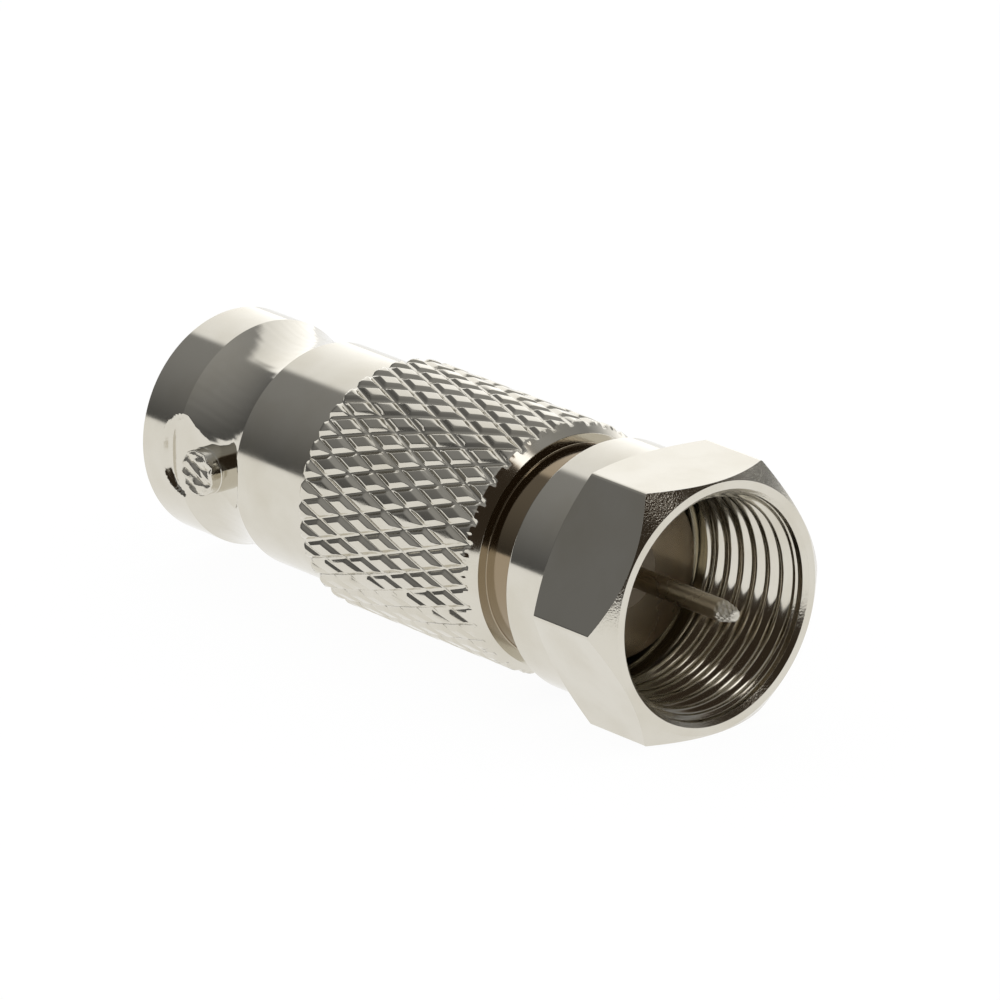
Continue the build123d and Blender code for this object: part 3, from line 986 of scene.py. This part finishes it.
# %% Finishes for the other CAD nodes
for node, material in {
    "nut_ferrule": ferrule_brass,
    "jack_insulator": jack_plastic,
    "plug_insulator": plug_plastic,
    "jack_contact": contact_bronze,
}.items():
    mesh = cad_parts[node].data
    mesh.materials.clear()
    mesh.materials.append(material)
    print(node, "finished with", material.name)

# %% [markdown]
# The floor is plain and pale, and the nut rests on it. Most of its brightness is its own glow, which
# keeps the ground as white as the photograph's, and a small diffuse part carries the soft shadow.

# %% Floor
FLOOR_HALF = 1.5
FLOOR_GLOW = 0.95
FLOOR_DIFFUSE = 0.06
floor_mesh = bpy.data.meshes.new("floor")
floor_level = nut_low.z
floor_corners = [(-1, -1), (1, -1), (1, 1), (-1, 1)]
floor_points = [(x * FLOOR_HALF, y * FLOOR_HALF, floor_level) for x, y in floor_corners]
floor_mesh.from_pydata(floor_points, [], [(0, 1, 2, 3)])
floor = bpy.data.objects.new("floor", floor_mesh)
bpy.context.scene.collection.objects.link(floor)
paper = bpy.data.materials.new("floor_paper")
paper.use_nodes = True
paper_tree = paper.node_tree
paper_tree.nodes.clear()
glow = place(paper_tree, "ShaderNodeEmission")
glow.inputs["Strength"].default_value = FLOOR_GLOW
matte = place(paper_tree, "ShaderNodeBsdfDiffuse")
matte.inputs["Color"].default_value = (FLOOR_DIFFUSE, FLOOR_DIFFUSE, FLOOR_DIFFUSE, 1)
both = place(paper_tree, "ShaderNodeAddShader")
paper_out = place(paper_tree, "ShaderNodeOutputMaterial")
paper_tree.links.new(glow.outputs[0], both.inputs[0])
paper_tree.links.new(matte.outputs[0], both.inputs[1])
paper_tree.links.new(both.outputs[0], paper_out.inputs["Surface"])
floor_mesh.materials.append(paper)
print("floor at", round(floor_level / MM, 3), "mm")

# %% [markdown]
# A mirror shows the studio. A tall white card stands behind the adapter, seen in everything that
# faces up, with a lamp overhead and a soft gleam beside the card. The rest of the room is dim, a
# little lighter overhead than at the horizon, and the side ahead of the plug is darker and brown. The
# card's left edge leans, so it follows a plane and not a heading alone. The world gives the studio
# by direction for reflections only. Below the horizon they show white, plain surfaces get even
# light from all round, and the camera sees white.

# %% Studio
CARD_EDGE = (0.313, 0.930, 0.190)
CARD_EDGE_AT, CARD_EDGE_SOFT = -0.02, 0.04
CARD_FROM = math.radians(-6)
CARD_TO = math.radians(78)
CARD_TOP = math.radians(52)
CARD_SOFT = math.radians(2.5)
DARK_SIDE, DARK_SIDE_SOFT = 0.29, 0.06
DARK_SIDE_LEVEL = 0.035
LAMP_TOWARD = (0.40, -0.04, 0.915)
LAMP_HALF_ANGLE, LAMP_SOFT = math.radians(9), math.radians(2)
LAMP_LEVEL = 1.6
GLEAM_TOWARD = (0.41, 0.885, 0.22)
GLEAM_HALF_ANGLE, GLEAM_SOFT = math.radians(13), math.radians(3)
GLEAM_LEVEL = 1.7
DARK_TINT = (1.0, 0.74, 0.5, 1.0)
WHITE = (1.0, 1.0, 1.0, 1.0)
ROOM_SLOPE, ROOM_LEVEL = 0.29, 0.075
CARD_SLOPE, CARD_LEVEL = -0.85, 1.6
PLAIN_LEVEL = 0.95
world = bpy.data.worlds.new("studio")
bpy.context.scene.world = world
world.use_nodes = True
studio = world.node_tree
studio.nodes.clear()
look = place(studio, "ShaderNodeTexCoord")
direction = place(studio, "ShaderNodeSeparateXYZ")
studio.links.new(look.outputs["Generated"], direction.inputs[0])
toward_x, toward_y, toward_z = direction.outputs


def soft_step(value, edge, width):
    """0 below the edge, 1 above it, smooth between edge - width and edge + width."""
    node = place(studio, "ShaderNodeMapRange", interpolation_type="SMOOTHSTEP")
    studio.links.new(value, node.inputs["Value"])
    node.inputs["From Min"].default_value = edge - width
    node.inputs["From Max"].default_value = edge + width
    return node.outputs["Result"]


def toward(axis):
    """The dot product of the looked-at direction with one axis."""
    match = place(studio, "ShaderNodeVectorMath", operation="DOT_PRODUCT")
    studio.links.new(look.outputs["Generated"], match.inputs[0])
    match.inputs[1].default_value = axis
    return match.outputs["Value"]


def without(share):
    """What a share leaves of 1."""
    return math_node(studio, "SUBTRACT", 1.0, share)


def disc(axis, half_angle, soft):
    """1 inside a round patch of the sky round an axis."""
    inner, outer_edge = math.cos(half_angle - soft), math.cos(half_angle + soft)
    return soft_step(toward(axis), (inner + outer_edge) / 2, (inner - outer_edge) / 2)


heading = math_node(studio, "ARCTAN2", toward_y, math_node(studio, "MULTIPLY", toward_x, -1.0))
height = math_node(studio, "ARCSINE", toward_z)
inside_left = soft_step(toward(CARD_EDGE), CARD_EDGE_AT, CARD_EDGE_SOFT)
inside_left = math_node(studio, "MULTIPLY", inside_left, soft_step(heading, CARD_FROM, CARD_SOFT))
past_right = soft_step(heading, CARD_TO, 4 * CARD_SOFT)
above_top = soft_step(height, CARD_TOP, 2 * CARD_SOFT)
card = math_node(studio, "MULTIPLY", inside_left, without(past_right))
card = math_node(studio, "MULTIPLY", card, without(above_top))
room = math_node(studio, "MULTIPLY_ADD", toward_z, ROOM_SLOPE, ROOM_LEVEL)
dark_side = soft_step(toward_x, DARK_SIDE, DARK_SIDE_SOFT)
darker = math_node(studio, "MULTIPLY", dark_side, math_node(studio, "SUBTRACT", DARK_SIDE_LEVEL, room))
room = math_node(studio, "ADD", room, darker)
lamp = disc(LAMP_TOWARD, LAMP_HALF_ANGLE, LAMP_SOFT)
gleam = disc(GLEAM_TOWARD, GLEAM_HALF_ANGLE, GLEAM_SOFT)
card_light = math_node(studio, "MULTIPLY_ADD", toward_z, CARD_SLOPE, CARD_LEVEL)
extra = math_node(studio, "MULTIPLY", card, math_node(studio, "SUBTRACT", card_light, room))
upper = math_node(studio, "ADD", room, extra)
upper = math_node(studio, "MULTIPLY_ADD", lamp, LAMP_LEVEL, upper)
upper = math_node(studio, "MULTIPLY_ADD", gleam, GLEAM_LEVEL, upper)
below = math_node(studio, "LESS_THAN", toward_z, 0.0)
mirrored = math_node(studio, "ADD", math_node(studio, "MULTIPLY", upper, without(below)), below)
rays = place(studio, "ShaderNodeLightPath")
diffuse_ray, camera_ray = rays.outputs["Is Diffuse Ray"], rays.outputs["Is Camera Ray"]
plain = math_node(studio, "MAXIMUM", diffuse_ray, camera_ray)
plain_light = math_node(studio, "MULTIPLY_ADD", diffuse_ray, PLAIN_LEVEL, camera_ray)
strength = math_node(studio, "MULTIPLY_ADD", mirrored, without(plain), plain_light)
background = place(studio, "ShaderNodeBackground")
unlit = math_node(studio, "MULTIPLY", dark_side, without(math_node(studio, "MAXIMUM", below, plain)))
unlit = math_node(studio, "MULTIPLY", unlit, without(math_node(studio, "MAXIMUM", lamp, gleam)))
studio.links.new(blend_colour(studio, unlit, WHITE, DARK_TINT), background.inputs["Color"])
studio.links.new(strength, background.inputs["Strength"])
world_out = place(studio, "ShaderNodeOutputWorld")
studio.links.new(background.outputs[0], world_out.inputs["Surface"])
bpy.context.scene.view_settings.view_transform = "Standard"
print("studio card ends at", round(math.degrees(CARD_TO), 1), "degrees")
